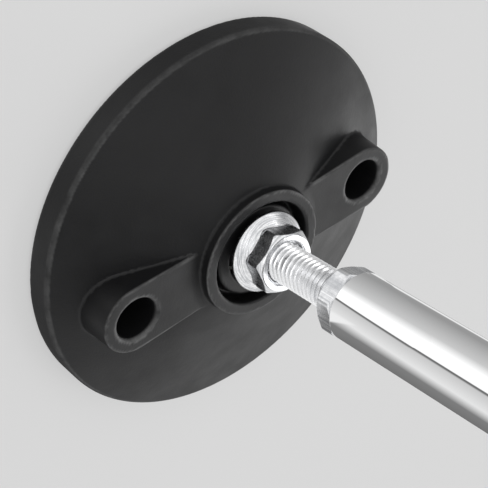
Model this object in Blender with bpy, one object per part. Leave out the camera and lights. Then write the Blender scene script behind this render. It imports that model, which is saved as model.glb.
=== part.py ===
"""Ladder stabilizer leg: a bolt-down swivel foot, a screw-adjusted stem and a chromed leg tube.

The foot stands on the floor with the centre of its sole at the origin, +Z up, and its two bolt
lugs lie on the X axis. The stem runs in a ball joint in the foot and leans towards -Y at rest.
Dimensions are in millimetres and are turned into metres where a mesh is made.
"""
import math

import bmesh
import bpy
from mathutils import Matrix, Vector

MM = 0.001
GAP = 0.3                       # clearance left between neighbouring solids
WIDE_SEGMENTS = 48              # facets round the foot and its sole
SEGMENTS = 36                   # facets round the socket, nuts, tube and bushes
THREAD_SEGMENTS = 12            # facets in one turn of the thread

# Foot moulding
FOOT_RADIUS = 62.5
RIM_HEIGHT = 9.3
RIM_BOTTOM = 0.8
RIM_ROUND = 1.0
RIM_EDGE = 0.6
RIM_WALL = 3.3
SOLE_LEDGE = 2.2                # width of the shoulder that backs the sole's edge
SHELL = 3.7                     # wall of the cone, measured along Z
HUB_RADIUS = 20.5
HUB_TOP = 27.4
HUB_EDGE = 0.8
CONE_TOP = 24.3                 # height at which the cone meets the hub
RECESS_RADIUS = 16.7
RECESS_FLOOR = 21.5
RECESS_COVE = 1.2
COLLAR_TOP = 25.3               # raised collar round the neck opening, with a groove outside it
COLLAR_RADIUS = 14.7
COLLAR_FOOT = 15.3
NECK_OPENING = 10.0
NECK_FLARE = 0.7                # growth of the neck opening up to the collar's top
POCKET_RADIUS = 14.5            # bore that holds the ball seats
POCKET_TOP = 18.5
HUB_WALL = 24.0                 # outside of the hub wall under the cone
SOLE_SEAT = 3.2                 # height of the face that backs the rubber sole
RING_RIB_RADIUS = 40.0
RIB = 2.6
RADIAL_RIBS = 8

# Bolt lugs
LUG_CENTRE = 42.6
LUG_TOP = 23.7
LUG_RADIUS = 11.0
LUG_TAPER = 0.8                 # loss of half width towards the hub
LUG_DRAFT = 0.6
LUG_HOLE = 6.75
LUG_CHAMFER = 0.6
BOSS_RADIUS = 10.6

# Rubber sole and its screws
SOLE_RADIUS = 58.8
SOLE_THICKNESS = 2.9
SOLE_HOLE = 7.6
TREAD_RADII = (22.0, 54.0)
TREAD_WIDTH = 3.0
TREAD_DEPTH = 1.0
SOLE_SCREW_CIRCLE = 40.0
SOLE_SCREW_HEAD = 3.6
SOLE_SCREW_SHANK = 1.7
SOLE_SCREW_TOP = 12.0
SCREW_BOSS = 4.2

# Ball socket
BALL_CENTRE = 12.0
BALL_RADIUS = 11.0
BALL_FLAT = -7.0                # underside of the ball, from its centre
BALL_NECK = 7.2
BALL_NECK_TOP = 16.0
SEAT_RADIUS = 14.2
SEAT_BORE = BALL_RADIUS + 0.25
UPPER_SEAT = (0.2, 6.2)
LOWER_SEAT = (-5.7, -0.15)
COVER_RADIUS = 22.0
COVER_HOLE = 9.2
COVER = (3.5, 5.0)
COVER_SCREW_CIRCLE = 18.4
COVER_SCREW_HEAD = 2.7
COVER_SCREW_SHANK = 1.35
COVER_SCREW_TOP = 13.0

# Stem, measured from the floor along the stem with the foot square to it
LEAN = 7.0                      # degrees from square at rest
THREAD_RADIUS = 5.9             # M12 x 1.75
THREAD_ROOT = 4.95
THREAD_PITCH = 1.75
CLEAR_BORE = 6.2
HEAD_RADIUS = 7.1
HEAD = (5.4, 8.4)
THREAD_START = 26.0
THREAD_TURNS = 45
STEM_TOP = 109.5
WASHER = (28.2, 28.7)
WASHER_RADIUS = 9.6
FLANGE_NUT = (29.0, 38.4)
FLANGE_RADIUS = 12.5
FLANGE_SECTION = ((0.0, 12.0), (0.4, FLANGE_RADIUS), (1.0, FLANGE_RADIUS), (1.4, 12.2), (2.9, 10.5))
FLANGE_TOP = 3.5
NUT_APOTHEM = 9.0
NUT_FACE = 8.7                  # radius of a nut's round end face, inside its chamfer
NUT_CHAMFER = 1.3               # height of the chamfer at a corner
THREAD_ENTRY = 0.9
FLANGE_NUT_TURN = 39.0          # degrees from +X to a corner
JAM_NUT = (61.4, 67.7)
JAM_NUT_TURN = 31.0
TUBE = (68.0, 265.0)
TUBE_RADIUS = 10.0
TUBE_BORE = 8.5
BUSH_RADIUS = TUBE_BORE - GAP
LOWER_BUSH = (68.2, 92.0)
UPPER_BUSH = (243.0, 264.8)
UPPER_BUSH_BORE = 5.15          # core hole of an M12 thread


# --- scene and meshes -----------------------------------------------------------------

def clear_scene():
    for existing in list(bpy.data.objects):
        bpy.data.objects.remove(existing, do_unlink=True)


def material(name, colour, roughness, metallic):
    made = bpy.data.materials.new(name)
    made.use_nodes = True
    shader = made.node_tree.nodes["Principled BSDF"]
    shader.inputs["Base Color"].default_value = (*colour, 1.0)
    shader.inputs["Roughness"].default_value = roughness
    shader.inputs["Metallic"].default_value = metallic
    return made


def axis_empty(name, height, parent=None, lean=0.0):
    """An empty on a joint's axis, at a height in its parent's frame."""
    empty = bpy.data.objects.new(name, None)
    bpy.context.collection.objects.link(empty)
    empty.parent = parent
    empty.location = (0.0, 0.0, height * MM)
    empty.rotation_euler = (math.radians(lean), 0.0, 0.0)
    return empty


def add_object(name, bm, surface, parent=None, drop=0.0, sharp=35.0):
    """Link a mesh in millimetres as an object, its origin a distance drop above zero."""
    bmesh.ops.recalc_face_normals(bm, faces=bm.faces)
    bmesh.ops.translate(bm, verts=bm.verts, vec=(0.0, 0.0, -drop))
    bmesh.ops.scale(bm, verts=bm.verts, vec=(MM, MM, MM))
    mesh = bpy.data.meshes.new(name)
    bm.to_mesh(mesh)
    bm.free()
    mesh.shade_smooth()
    mesh.set_sharp_from_angle(angle=math.radians(sharp))
    mesh.materials.append(surface)
    made = bpy.data.objects.new(name, mesh)
    bpy.context.collection.objects.link(made)
    made.parent = parent
    return made


def ring(bm, radius, height, segments, centre=(0.0, 0.0), offset=0.5):
    """A ring of vertices; radius is a length or a function of the angle."""
    made = []
    for step in range(segments):
        angle = math.tau * (step + offset) / segments
        length = radius(angle) if callable(radius) else radius
        point = (centre[0] + length * math.cos(angle), centre[1] + length * math.sin(angle), height)
        made.append(bm.verts.new(point))
    return made


def bridge(bm, low, high):
    """Join two rings of vertices; a ring of one vertex is a pole."""
    count = max(len(low), len(high))
    for step in range(count):
        after = (step + 1) % count
        corners = [low[step % len(low)], low[after % len(low)],
                   high[after % len(high)], high[step % len(high)]]
        bm.faces.new(list(dict.fromkeys(corners)))


def turned(profile, segments, centre=(0.0, 0.0)):
    """A turned solid: the profile is a closed loop, or runs from the axis to the axis."""
    bm = bmesh.new()
    rings = []
    for radius, height in profile:
        if radius == 0.0:
            rings.append([bm.verts.new((centre[0], centre[1], height))])
        else:
            rings.append(ring(bm, radius, height, segments, centre))
    on_axis = profile[0][0] == 0.0
    followers = rings[1:] if on_axis else rings[1:] + rings[:1]
    for low, high in zip(rings, followers):
        bridge(bm, low, high)
    return bm


def arc(centre, radius, start, end, steps):
    """Profile points along an arc, angles in degrees from the outward direction."""
    points = []
    for step in range(steps + 1):
        angle = math.radians(start + (end - start) * step / steps)
        points.append((centre[0] + radius * math.cos(angle), centre[1] + radius * math.sin(angle)))
    return points


def sphere_profile(radius, low, high, steps):
    """Profile points on a sphere about the ball centre, between two heights from it."""
    start = math.degrees(math.asin(low / radius))
    end = math.degrees(math.asin(high / radius))
    return arc((0.0, BALL_CENTRE), radius, start, end, steps)


def boolean(target, tool_bm, operation, name):
    """Apply a hidden tool mesh to an object with a Boolean modifier."""
    tool = add_object(name, tool_bm, target.data.materials[0], parent=target.parent)
    tool.hide_render = True
    tool.display_type = 'WIRE'
    modifier = target.modifiers.new(name, 'BOOLEAN')
    modifier.operation = operation
    modifier.solver = 'EXACT'
    modifier.object = tool


def on_circle(radius, count, first=0.0):
    """Points spaced evenly round a circle, the first at an angle in degrees."""
    for step in range(count):
        angle = math.radians(first) + math.tau * step / count
        yield radius * math.cos(angle), radius * math.sin(angle)


# --- foot -----------------------------------------------------------------------------

def cone_height(radius):
    """Height of the foot's conical top surface at a distance from its centre."""
    slope = (CONE_TOP - RIM_HEIGHT) / (FOOT_RADIUS - HUB_RADIUS)
    return CONE_TOP - (radius - HUB_RADIUS) * slope


def foot_profile():
    """Section of the foot moulding, from the rim up over the cone and down the hub."""
    inner_rim = FOOT_RADIUS - RIM_WALL
    cavity = inner_rim - SOLE_LEDGE
    rib_in, rib_out = RING_RIB_RADIUS - RIB / 2, RING_RIB_RADIUS + RIB / 2
    cover_seat = COVER[1] + GAP
    points = [(FOOT_RADIUS - RIM_EDGE, RIM_BOTTOM), (FOOT_RADIUS, RIM_BOTTOM + RIM_EDGE)]
    points += arc((FOOT_RADIUS - RIM_ROUND, RIM_HEIGHT - RIM_ROUND), RIM_ROUND, 0, 70, 2)
    points += [(HUB_RADIUS + HUB_EDGE, cone_height(HUB_RADIUS + HUB_EDGE))]
    points += [(HUB_RADIUS, CONE_TOP + HUB_EDGE)]
    points += arc((HUB_RADIUS - HUB_EDGE, HUB_TOP - HUB_EDGE), HUB_EDGE, 0, 90, 1)
    points += arc((RECESS_RADIUS + RECESS_COVE, HUB_TOP - RECESS_COVE), RECESS_COVE, 90, 180, 2)
    points += [(RECESS_RADIUS, RECESS_FLOOR + RECESS_COVE), (RECESS_RADIUS - RECESS_COVE, RECESS_FLOOR)]
    points += [(COLLAR_FOOT, RECESS_FLOOR), (COLLAR_RADIUS, COLLAR_TOP)]
    points += [(NECK_OPENING + NECK_FLARE, COLLAR_TOP), (NECK_OPENING, RECESS_FLOOR)]
    points += [(NECK_OPENING, POCKET_TOP), (POCKET_RADIUS, POCKET_TOP), (POCKET_RADIUS, cover_seat)]
    points += [(COVER_RADIUS + GAP, cover_seat), (COVER_RADIUS + GAP, SOLE_SEAT)]
    points += [(HUB_WALL, SOLE_SEAT), (HUB_WALL, cone_height(HUB_WALL) - SHELL)]
    points += [(rib_in, cone_height(rib_in) - SHELL), (rib_in, SOLE_SEAT)]
    points += [(rib_out, SOLE_SEAT), (rib_out, cone_height(rib_out) - SHELL)]
    points += [(cavity, cone_height(cavity) - SHELL), (cavity, SOLE_SEAT)]
    points += [(inner_rim, SOLE_SEAT), (inner_rim, RIM_BOTTOM)]
    return points


def lug_outline(radius, steps=10):
    """Outline of a lug on +X: a half circle round the bolt hole, its sides drawing in to the hub."""
    inner_end = HUB_RADIUS - 2.0
    points = [(inner_end, LUG_TAPER - radius)]
    for step in range(steps + 1):
        angle = -math.pi / 2 + math.pi * step / steps
        points.append((LUG_CENTRE + radius * math.cos(angle), radius * math.sin(angle)))
    points.append((inner_end, radius - LUG_TAPER))
    return points


def lug_solid(side):
    """A lug with a flat top and drafted walls whose foot is buried in the cone."""
    bm = bmesh.new()
    buried = SHELL / 2
    low, high = [], []
    for x, y in lug_outline(LUG_RADIUS + LUG_DRAFT):
        height = cone_height(math.hypot(x, y)) - buried
        low.append(bm.verts.new((side * x, side * y, height)))
    for x, y in lug_outline(LUG_RADIUS):
        high.append(bm.verts.new((side * x, side * y, LUG_TOP)))
    bridge(bm, low, high)
    bm.faces.new(high)
    centre = bm.verts.new((side * LUG_CENTRE, 0.0, cone_height(LUG_CENTRE) - buried))
    for step, corner in enumerate(low):
        bm.faces.new((corner, low[(step + 1) % len(low)], centre))
    return bm


def rib_solid(angle):
    """A radial rib under the cone, from the hub wall to the rim."""
    bm = bmesh.new()
    inner, outer = HUB_WALL - 1.0, FOOT_RADIUS - RIM_WALL - 1.0
    section = [(inner, SOLE_SEAT), (outer, SOLE_SEAT),
               (outer, cone_height(outer) - SHELL / 2), (inner, cone_height(inner) - SHELL / 2)]
    along = Vector((math.cos(angle), math.sin(angle), 0.0))
    across = Vector((-math.sin(angle), math.cos(angle), 0.0))
    sides = []
    for shift in (-RIB / 2, RIB / 2):
        corners = [along * radius + across * shift + Vector((0.0, 0.0, height))
                   for radius, height in section]
        sides.append([bm.verts.new(corner) for corner in corners])
    bridge(bm, *sides)
    for side in sides:
        bm.faces.new(side)
    return bm


def peg(radius, low, high, segments, centre):
    return turned([(0.0, low), (radius, low), (radius, high), (0.0, high)], segments, centre)


def build_foot_pad(surface):
    pad = add_object("foot_pad", turned(foot_profile(), WIDE_SEGMENTS), surface)
    for index in range(RADIAL_RIBS):
        angle = math.tau * (index + 0.5) / RADIAL_RIBS
        boolean(pad, rib_solid(angle), 'UNION', f"radial_rib_{index + 1}")
    for index, (x, y) in enumerate(on_circle(SOLE_SCREW_CIRCLE, 4, 45.0)):
        top = cone_height(SOLE_SCREW_CIRCLE) - SHELL / 2
        boolean(pad, peg(SCREW_BOSS, SOLE_SEAT, top, 16, (x, y)), 'UNION', f"screw_boss_{index + 1}")
        hole = peg(SOLE_SCREW_SHANK + GAP, 0.0, SOLE_SCREW_TOP + 1.0, 12, (x, y))
        boolean(pad, hole, 'DIFFERENCE', f"screw_hole_{index + 1}")
    for index, (x, y) in enumerate(on_circle(COVER_SCREW_CIRCLE, 4, 45.0)):
        hole = peg(COVER_SCREW_SHANK + GAP, 0.0, COVER_SCREW_TOP + 1.0, 12, (x, y))
        boolean(pad, hole, 'DIFFERENCE', f"cover_hole_{index + 1}")
    for index, side in enumerate((1, -1)):
        centre = (side * LUG_CENTRE, 0.0)
        boolean(pad, lug_solid(side), 'UNION', f"lug_{index + 1}")
        boss = peg(BOSS_RADIUS, SOLE_SEAT, LUG_TOP - 3.0, 24, centre)
        boolean(pad, boss, 'UNION', f"lug_boss_{index + 1}")
        bore = [(0.0, 0.0), (LUG_HOLE, 0.0), (LUG_HOLE, LUG_TOP - LUG_CHAMFER),
                (LUG_HOLE + 2 * LUG_CHAMFER, LUG_TOP + LUG_CHAMFER), (0.0, LUG_TOP + LUG_CHAMFER)]
        boolean(pad, turned(bore, 28, centre), 'DIFFERENCE', f"lug_bore_{index + 1}")
    return pad


def build_sole(surface):
    """Rubber sole: a disc with tread grooves, bolt holes and countersunk screw holes."""
    profile = [(0.0, 0.0)]
    for radius in TREAD_RADII:
        inner, outer = radius - TREAD_WIDTH / 2, radius + TREAD_WIDTH / 2
        profile += [(inner, 0.0), (inner, TREAD_DEPTH), (outer, TREAD_DEPTH), (outer, 0.0)]
    profile += [(SOLE_RADIUS - 0.5, 0.0), (SOLE_RADIUS, 0.5), (SOLE_RADIUS, SOLE_THICKNESS)]
    profile += [(0.0, SOLE_THICKNESS)]
    sole = add_object("rubber_sole", turned(profile, WIDE_SEGMENTS), surface)
    for index, side in enumerate((1, -1)):
        hole = peg(SOLE_HOLE, -1.0, SOLE_THICKNESS + 1.0, 24, (side * LUG_CENTRE, 0.0))
        boolean(sole, hole, 'DIFFERENCE', f"sole_bolt_hole_{index + 1}")
    for index, centre in enumerate(on_circle(SOLE_SCREW_CIRCLE, 4, 45.0)):
        wide, narrow = SOLE_SCREW_HEAD + GAP, SOLE_SCREW_SHANK + GAP
        cutter = [(0.0, -1.0), (wide, -1.0), (wide, 0.8), (narrow, 2.7), (narrow, 4.0), (0.0, 4.0)]
        boolean(sole, turned(cutter, 16, centre), 'DIFFERENCE', f"sole_screw_hole_{index + 1}")
    return sole


def countersunk_screw(name, head_radius, shank_radius, bottom, top, centre, surface):
    """A countersunk screw with its head down; the head's cone is at 45 degrees."""
    cone_top = bottom + 0.3 + head_radius - shank_radius
    profile = [(0.0, bottom), (head_radius, bottom), (head_radius, bottom + 0.3),
               (shank_radius, cone_top), (shank_radius, top - shank_radius), (0.4, top), (0.0, top)]
    return add_object(name, turned(profile, 12, centre), surface)


def build_cover(surface):
    """Steel plate that closes the ball pocket from below."""
    profile = [(COVER_HOLE, COVER[0]), (COVER_RADIUS, COVER[0]), (COVER_RADIUS, COVER[1]),
               (COVER_HOLE, COVER[1])]
    cover = add_object("socket_cover", turned(profile, SEGMENTS), surface)
    for index, centre in enumerate(on_circle(COVER_SCREW_CIRCLE, 4, 45.0)):
        wide, narrow = COVER_SCREW_HEAD + GAP, COVER_SCREW_SHANK + GAP
        low, depth = COVER[0] + 0.3, wide - narrow
        cutter = [(0.0, low - 1.0), (wide, low - 1.0), (wide, low), (narrow, low + depth),
                  (narrow, COVER[1] + 1.0), (0.0, COVER[1] + 1.0)]
        boolean(cover, turned(cutter, 16, centre), 'DIFFERENCE', f"cover_screw_hole_{index + 1}")
    return cover


def build_seats(surface, spring_steel, parent):
    """Two plastic rings with spherical bores hold the ball, and a cone washer loads them."""
    for name, (low, high) in (("upper_ball_seat", UPPER_SEAT), ("lower_ball_seat", LOWER_SEAT)):
        bottom, top = BALL_CENTRE + low, BALL_CENTRE + high
        profile = sphere_profile(SEAT_BORE, high, low, 4) + [(SEAT_RADIUS, bottom), (SEAT_RADIUS, top)]
        add_object(name, turned(profile, SEGMENTS), surface, parent)
    bottom = COVER[1] + 0.15
    washer = [(14.1, bottom), (14.1, bottom + 0.5), (10.4, bottom + 0.9), (10.4, bottom + 0.4)]
    add_object("preload_washer", turned(washer, SEGMENTS), spring_steel, parent)


# --- stem -----------------------------------------------------------------------------

def build_ball(surface, parent):
    """Ball with a neck, bored for the stem and recessed below for the stem's head."""
    meet = math.sqrt(BALL_RADIUS ** 2 - BALL_NECK ** 2)
    recess_top = HEAD[1] + GAP
    profile = sphere_profile(BALL_RADIUS, BALL_FLAT, meet, 8)
    profile += [(BALL_NECK, BALL_CENTRE + BALL_NECK_TOP - 0.4)]
    profile += [(BALL_NECK - 0.4, BALL_CENTRE + BALL_NECK_TOP), (CLEAR_BORE, BALL_CENTRE + BALL_NECK_TOP)]
    profile += [(CLEAR_BORE, recess_top), (HEAD_RADIUS + GAP, recess_top)]
    profile += [(HEAD_RADIUS + GAP, BALL_CENTRE + BALL_FLAT)]
    return add_object("swivel_ball", turned(profile, SEGMENTS), surface, parent, drop=BALL_CENTRE)


def threaded_rod(lower, upper, start, turns, segments):
    """A rod whose profile runs from the axis up, carries a helical thread, and closes on the axis.

    The root and crest of the thread are two helices half a pitch apart. The crest rises from
    the root over the first turn and sinks back over the last one.
    """
    bm = bmesh.new()

    def helix(shift, count, depth):
        points = []
        for step in range(count):
            angle = math.tau * step / segments
            radius = THREAD_ROOT + depth(step / segments)
            height = start + THREAD_PITCH * (step / segments + shift)
            points.append(bm.verts.new((radius * math.cos(angle), radius * math.sin(angle), height)))
        return points

    def crest_depth(turn):
        fade = min(1.0, turn, turns - turn)
        return (THREAD_RADIUS - THREAD_ROOT) * fade

    def profile_rings(profile):
        made = []
        for radius, height in profile:
            if radius == 0.0:
                made.append([bm.verts.new((0.0, 0.0, height))])
            else:
                made.append(ring(bm, radius, height, segments, offset=0.0))
        for low, high in zip(made, made[1:]):
            bridge(bm, low, high)
        return made

    below = profile_rings(lower)[-1]
    above = profile_rings(upper)[0]
    last = segments * turns
    root = helix(0.0, last + segments + 1, lambda turn: 0.0)
    crest = helix(0.5, last + 1, crest_depth)
    for step in range(last):
        bm.faces.new((root[step], root[step + 1], crest[step + 1], crest[step]))
        after = step + segments
        bm.faces.new((crest[step], crest[step + 1], root[after + 1], root[after]))
    for step in range(segments - 1):
        bm.faces.new((below[step], below[step + 1], root[step + 1], root[step]))
    seam = [below[0], root[0], crest[0], root[segments], root[segments - 1]]
    for low, high in zip(seam, seam[1:]):
        bm.faces.new((below[-1], low, high))
    for step in range(1, segments):
        after = (step + 1) % segments
        bm.faces.new((root[last + step], root[last + step + 1], above[after], above[step]))
    seam = [root[last], crest[last], root[last + segments], above[0], above[1]]
    for low, high in zip(seam, seam[1:]):
        bm.faces.new((root[last + 1], high, low))
    return bm


def build_stud(surface, parent):
    """Stem: a low head held in the ball, a plain shank and a long thread."""
    shank = THREAD_RADIUS
    lower = [(0.0, HEAD[0]), (HEAD_RADIUS - 0.4, HEAD[0]), (HEAD_RADIUS, HEAD[0] + 0.4),
             (HEAD_RADIUS, HEAD[1]), (shank, HEAD[1]), (shank, THREAD_START - 1.4),
             (THREAD_ROOT, THREAD_START - 0.5)]
    thread_end = THREAD_START + THREAD_PITCH * (THREAD_TURNS + 1)
    upper = [(THREAD_ROOT, thread_end + 0.4), (THREAD_ROOT - 1.0, STEM_TOP), (0.0, STEM_TOP)]
    bm = threaded_rod(lower, upper, THREAD_START, THREAD_TURNS, THREAD_SEGMENTS)
    return add_object("threaded_stud", bm, surface, parent, drop=BALL_CENTRE, sharp=25.0)


def hex_outline(limit, least):
    """Radius of a hexagon at an angle from a corner, kept between two round limits."""
    def radius(angle):
        flat = NUT_APOTHEM / math.cos(angle % (math.pi / 3) - math.pi / 6)
        return max(least, min(limit, flat))
    return radius


def nut_solid(levels, turn):
    """A nut from outline levels (height, round limit, least radius) round a chamfered bore."""
    bm = bmesh.new()
    rings = []
    for height, limit, least in levels:
        rings.append(ring(bm, hex_outline(limit, least), height, SEGMENTS, offset=0.0))
    low, high = levels[0][0], levels[-1][0]
    entry = CLEAR_BORE + THREAD_ENTRY
    for radius, height in ((entry, high), (CLEAR_BORE, high - THREAD_ENTRY),
                           (CLEAR_BORE, low + THREAD_ENTRY), (entry, low)):
        rings.append(ring(bm, radius, height, SEGMENTS, offset=0.0))
    for lower, upper in zip(rings, rings[1:] + rings[:1]):
        bridge(bm, lower, upper)
    bmesh.ops.rotate(bm, verts=bm.verts, matrix=Matrix.Rotation(math.radians(turn), 3, 'Z'))
    return bm


def hexagon_levels(low, high, chamfer_low):
    """Outline levels of a hexagon chamfered at its top, and at its bottom if asked."""
    corner = NUT_APOTHEM / math.cos(math.pi / 6)
    middle = (NUT_FACE + corner) / 2
    levels = [(high - NUT_CHAMFER, corner, 0.0), (high - NUT_CHAMFER / 2, middle, 0.0),
              (high, NUT_FACE, 0.0)]
    if chamfer_low:
        lower = [(low + high - height, limit, least) for height, limit, least in levels]
        levels = lower[::-1] + levels
    return levels


def build_flange_nut(surface, parent):
    low, high = FLANGE_NUT
    levels = [(low + rise, radius, radius) for rise, radius in FLANGE_SECTION]
    levels.append((low + FLANGE_TOP, NUT_APOTHEM / math.cos(math.pi / 6), NUT_APOTHEM))
    levels += hexagon_levels(low, high, False)
    bm = nut_solid(levels, FLANGE_NUT_TURN)
    return add_object("flange_nut", bm, surface, parent, drop=BALL_CENTRE)


def build_jam_nut(surface, parent):
    bm = nut_solid(hexagon_levels(*JAM_NUT, True), JAM_NUT_TURN)
    return add_object("jam_nut", bm, surface, parent, drop=BALL_CENTRE)


def chamfered_sleeve(inner, outer, low, high, edge):
    """A plain tube with its outer and inner end edges broken."""
    profile = [(inner + edge, low), (outer - edge, low), (outer, low + edge), (outer, high - edge),
               (outer - edge, high), (inner + edge, high), (inner, high - edge), (inner, low + edge)]
    return turned(profile, SEGMENTS)


def build_leg(chrome, zinc, parent):
    for name, inner, outer, (low, high), edge, surface in (
            ("leg_tube", TUBE_BORE, TUBE_RADIUS, TUBE, 0.3, chrome),
            ("lower_tube_bush", CLEAR_BORE, BUSH_RADIUS, LOWER_BUSH, 0.4, zinc),
            ("upper_tube_bush", UPPER_BUSH_BORE, BUSH_RADIUS, UPPER_BUSH, 0.4, zinc)):
        sleeve = chamfered_sleeve(inner, outer, low, high, edge)
        add_object(name, sleeve, surface, parent, drop=BALL_CENTRE)


# --- assembly -------------------------------------------------------------------------

def main():
    clear_scene()
    nylon = material("black_nylon", (0.022, 0.022, 0.023), 0.5, 0.0)
    rubber = material("black_rubber", (0.03, 0.03, 0.032), 0.85, 0.0)
    acetal = material("black_acetal", (0.03, 0.03, 0.03), 0.35, 0.0)
    white_acetal = material("natural_acetal", (0.8, 0.79, 0.74), 0.4, 0.0)
    zinc = material("zinc_plate", (0.74, 0.75, 0.77), 0.25, 1.0)
    spring_steel = material("spring_steel", (0.4, 0.4, 0.42), 0.3, 1.0)
    chrome = material("chrome", (0.82, 0.83, 0.84), 0.06, 1.0)

    build_foot_pad(nylon)
    build_sole(rubber)
    for index, centre in enumerate(on_circle(SOLE_SCREW_CIRCLE, 4, 45.0)):
        countersunk_screw(f"sole_screw_{index + 1}", SOLE_SCREW_HEAD, SOLE_SCREW_SHANK,
                          0.6, SOLE_SCREW_TOP, centre, zinc)
    build_cover(zinc)
    for index, centre in enumerate(on_circle(COVER_SCREW_CIRCLE, 4, 45.0)):
        countersunk_screw(f"cover_screw_{index + 1}", COVER_SCREW_HEAD, COVER_SCREW_SHANK,
                          COVER[0] + 0.1, COVER_SCREW_TOP, centre, zinc)

    swivel_axis = axis_empty("swivel_axis", 0.0)
    tilt_axis = axis_empty("tilt_axis", BALL_CENTRE, swivel_axis, LEAN)
    stem_axis = axis_empty("stem_axis", 0.0, tilt_axis)
    leg_axis = axis_empty("leg_axis", 0.0, tilt_axis)
    build_seats(white_acetal, spring_steel, swivel_axis)
    build_ball(acetal, tilt_axis)
    build_stud(zinc, stem_axis)
    washer = [(CLEAR_BORE, WASHER[0]), (WASHER_RADIUS, WASHER[0]),
              (WASHER_RADIUS, WASHER[1]), (CLEAR_BORE, WASHER[1])]
    add_object("thrust_washer", turned(washer, SEGMENTS), spring_steel, stem_axis, drop=BALL_CENTRE)
    build_flange_nut(zinc, stem_axis)
    build_jam_nut(zinc, leg_axis)
    build_leg(chrome, zinc, leg_axis)


main()
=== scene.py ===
"""Looks for a ladder stabilizer leg: a bolt-down swivel foot, a screw stem and a chromed tube.

The CAD model is the fixed frame. Each piece here stands for one of its nodes, at the same place
and size, with the fine shape that the CAD solid leaves out: rounded edges, fillets, a true
helical thread, chamfered hexagons, drive recesses and tread. Lengths are in millimetres, in the
CAD's frame, and become metres when a mesh is made. Pieces on the stem are drawn upright and then
leaned about the ball's centre with the rest of it.
"""
import math

import bmesh
import bpy
import numpy as np
from mathutils import Matrix, Vector


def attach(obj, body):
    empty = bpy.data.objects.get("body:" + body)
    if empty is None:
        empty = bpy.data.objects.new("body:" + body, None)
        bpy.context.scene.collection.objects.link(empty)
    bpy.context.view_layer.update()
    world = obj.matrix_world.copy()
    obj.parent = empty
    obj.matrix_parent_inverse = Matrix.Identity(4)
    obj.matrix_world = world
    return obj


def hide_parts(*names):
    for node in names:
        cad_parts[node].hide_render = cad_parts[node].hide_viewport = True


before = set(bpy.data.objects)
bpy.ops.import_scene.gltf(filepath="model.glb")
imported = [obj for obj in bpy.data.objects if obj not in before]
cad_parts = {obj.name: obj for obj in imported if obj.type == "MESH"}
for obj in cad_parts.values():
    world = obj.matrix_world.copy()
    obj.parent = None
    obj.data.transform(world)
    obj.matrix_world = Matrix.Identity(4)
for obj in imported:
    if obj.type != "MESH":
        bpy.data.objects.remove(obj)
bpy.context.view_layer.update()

MM = 0.001
LEAN = math.radians(7.0)
BALL_CENTRE = 12.0

# Foot moulding
FOOT_RADIUS, RIM_HEIGHT, RIM_ROUND = 62.5, 9.3, 1.0
RIM_BOTTOM, RIM_EDGE = 0.8, 0.8
CONE_TOP, HUB_RADIUS, HUB_TOP = 24.3, 20.5, 27.4
HUB_EDGE, HUB_FILLET = 0.45, 0.4
CONE_SLOPE = (CONE_TOP - RIM_HEIGHT) / (FOOT_RADIUS - HUB_RADIUS)
CONE_COS = 1.0 / math.hypot(1.0, CONE_SLOPE)
SHELL = 3.7                     # wall of the cone, measured along Z
RECESS_RADIUS, RECESS_FLOOR, RECESS_COVE, RECESS_EDGE = 16.7, 21.5, 1.2, 0.8
COLLAR_TOP, COLLAR_RADIUS, COLLAR_FOOT, COLLAR_EDGE = 25.3, 14.7, 15.3, 0.6
NECK_OPENING, NECK_FLARE, NECK_EDGE = 10.0, 0.7, 0.4
POCKET_RADIUS, POCKET_TOP = 14.5, 18.5
COVER_POCKET_RADIUS, COVER_POCKET_TOP = 22.3, 5.3
HUB_WALL, SOLE_SEAT, SOLE_POCKET = 24.0, 3.2, 59.2
CAVITY_RADIUS, RING_RIB_RADIUS, RIB, RIB_FILLET = 57.0, 40.0, 2.6, 0.8
RIB_ANGLES = (math.pi / 8.0, 3.0 * math.pi / 8.0)       # in one quarter of the foot

# Bolt lugs
LUG_CENTRE, LUG_TOP, LUG_RADIUS, LUG_TAPER, LUG_INNER_END = 42.6, 23.7, 11.0, 0.8, 18.5
LUG_DRAFT, LUG_HOLE, LUG_BEVEL, LUG_EDGE = 0.6, 6.75, 0.6, 0.5
LUG_BOSS = 10.6

# Rubber sole, socket cover and their screws
SOLE_RADIUS, SOLE_THICKNESS, SOLE_BOLT_HOLE = 58.8, 2.9, 7.6
TREAD_RADII, TREAD_WIDTH, TREAD_DEPTH = (22.0, 54.0), 3.0, 1.0
RIBBING_PITCH, RIBBING_WIDTH, RIBBING_DEPTH, RIBBING = 4.0, 1.2, 0.45, (24.5, 51.5)
SOLE_SCREW_AT = 40.0 * math.sqrt(0.5)       # x and y of each sole screw
SOLE_SCREW_HOLE, SOLE_SCREW_HOLE_TOP, SOLE_SCREW_SINK = 2.0, 13.0, 3.9
SCREW_BOSS = 4.2
COVER_RADIUS, COVER_HOLE, COVER = 22.0, 9.2, (3.5, 5.0)
COVER_SCREW_AT = 18.4 * math.sqrt(0.5)
COVER_SCREW_HOLE, COVER_SCREW_HOLE_TOP, COVER_SCREW_SINK = 1.65, 14.0, 3.0

# Ball joint
BALL_RADIUS, BALL_FLAT, BALL_BORE = 11.0, -7.0, 6.2
BALL_NECK, BALL_NECK_TOP = 7.2, 28.0
SEAT_BORE, SEAT_RADIUS = 11.25, 14.2
UPPER_SEAT, LOWER_SEAT = (0.2, 6.2), (-5.7, -0.15)      # heights from the ball's centre

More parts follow.
